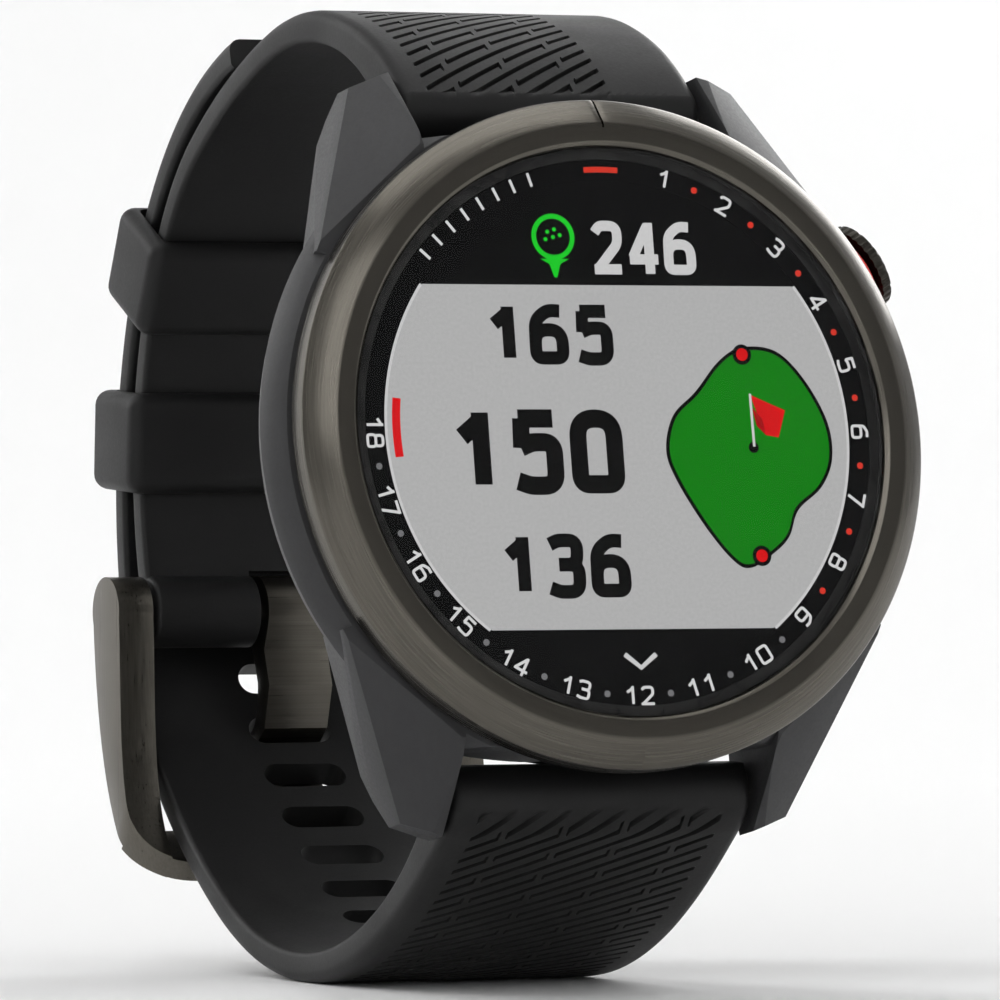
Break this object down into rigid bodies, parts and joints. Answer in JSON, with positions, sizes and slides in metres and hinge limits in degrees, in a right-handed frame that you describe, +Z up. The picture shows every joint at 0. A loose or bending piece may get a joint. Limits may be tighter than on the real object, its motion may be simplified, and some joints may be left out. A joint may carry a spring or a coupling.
{
  "type": "golf gps watch",
  "caption": "Round golf watch standing on its buckled strap: touch display with a hole-number ring, side button, quick-release silicone strap, buckle and keepers.",
  "frame": {"origin": "on the ground under the middle of the standing watch, midway between its sides, and midway between the glass and the strap keepers", "axes": "+X towards 3 o'clock, +Z up, -Y the way the dial faces; the case leans back 10 degrees, so 12 o'clock is up and slightly towards +Y"},
  "size_m": [0.0424, 0.0614, 0.0596],
  "materials": {
    "case_polymer": "fine matte fibre-reinforced polymer",
    "back_polymer": "matte polymer",
    "bezel_metal": "gunmetal coating over brushed steel",
    "buckle_metal": "gunmetal coating over brushed steel",
    "button_metal": "dark coated metal",
    "red_anodised": "red anodised aluminium",
    "cover_glass": "polished strengthened glass",
    "ring_print": "black print with hole numbers",
    "display": "reflective colour display",
    "light_guide": "milky light guide",
    "flex_film": "amber flexible circuit",
    "carrier_plastic": "black moulded plastic",
    "plunger_plastic": "ivory plastic",
    "cell_foil": "satin pouch foil",
    "board": "green solder mask",
    "tin_plate": "bright tinned sheet",
    "antenna_brass": "stamped brass",
    "steel": "satin stainless steel",
    "contact_gold": "gold plated",
    "seal": "black elastomer",
    "silicone": "soft matte silicone"
  },
  "bodies": {
    "case": {"case_body": "case_polymer", "bezel": "bezel_metal", "bezel_gasket": "seal", "lens": "cover_glass", "lens_gasket": "seal", "hole_ring": "ring_print", "display_panel": "display", "backlight_guide": "light_guide", "display_flex": "flex_film", "inner_frame": "carrier_plastic", "battery": "cell_foil", "main_board": "board", "shield_can": "tin_plate", "gps_antenna": "antenna_brass", "vibration_motor": "tin_plate", "tact_switch": "carrier_plastic", "back_cover": "back_polymer", "back_gasket": "seal", "back_screws": "steel", "contact_block": "carrier_plastic", "charge_contacts": "contact_gold", "button_bushing": "red_anodised", "button_spring": "steel", "upper_bar_tube": "steel", "upper_bar_fixed_tip": "steel", "upper_bar_spring": "steel", "lower_bar_tube": "steel", "lower_bar_fixed_tip": "steel", "lower_bar_spring": "steel", "strap_lower": "silicone"},
    "button": {"button_cap": "button_metal", "button_stem": "steel", "button_oring": "seal", "button_clip": "steel", "switch_plunger": "plunger_plastic"},
    "upper_lever": {"upper_bar_lever": "steel"},
    "lower_lever": {"lower_bar_lever": "steel"},
    "buckle_strap": {"strap_upper": "silicone", "keeper_fixed": "silicone", "buckle_bar": "steel"},
    "keeper": {"keeper_sliding": "silicone"},
    "buckle": {"buckle_frame": "buckle_metal"},
    "tang": {"buckle_tang": "buckle_metal"}
  },
  "joints": [
    {"name": "button_press", "type": "slide", "parent": "case", "child": "button", "axis": [-0.866, -0.0868, -0.4924], "range_m": [0, 0.0003], "stiffness_N_per_m": 2000, "deforming": ["button_spring"]},
    {"name": "upper_release", "type": "slide", "parent": "case", "child": "upper_lever", "axis": [-1, 0, 0], "range_m": [0, 0.0015], "stiffness_N_per_m": 400, "deforming": ["upper_bar_spring"]},
    {"name": "lower_release", "type": "slide", "parent": "case", "child": "lower_lever", "axis": [-1, 0, 0], "range_m": [0, 0.0015], "stiffness_N_per_m": 400, "deforming": ["lower_bar_spring"]},
    {"name": "strap_flex", "type": "hinge", "parent": "case", "child": "buckle_strap", "pos_m": [0, -0.01541, 0.05273], "axis": [1, 0, 0], "range_deg": [-4, 4], "stiffness_Nm_per_rad": 0.5, "deforming": ["strap_lower"]},
    {"name": "keeper_slide", "type": "hinge", "parent": "buckle_strap", "child": "keeper", "pos_m": [0, -0.00097, 0.03174], "axis": [1, 0, 0], "range_deg": [-8, 4]},
    {"name": "buckle_swing", "type": "hinge", "parent": "buckle_strap", "child": "buckle", "pos_m": [0, 0.02393, 0.02232], "axis": [1, 0, 0], "range_deg": [0, 100]},
    {"name": "tang_swing", "type": "hinge", "parent": "buckle_strap", "child": "tang", "pos_m": [0, 0.02393, 0.02232], "axis": [1, 0, 0], "range_deg": [-0.5, 1.5]}
  ]
}
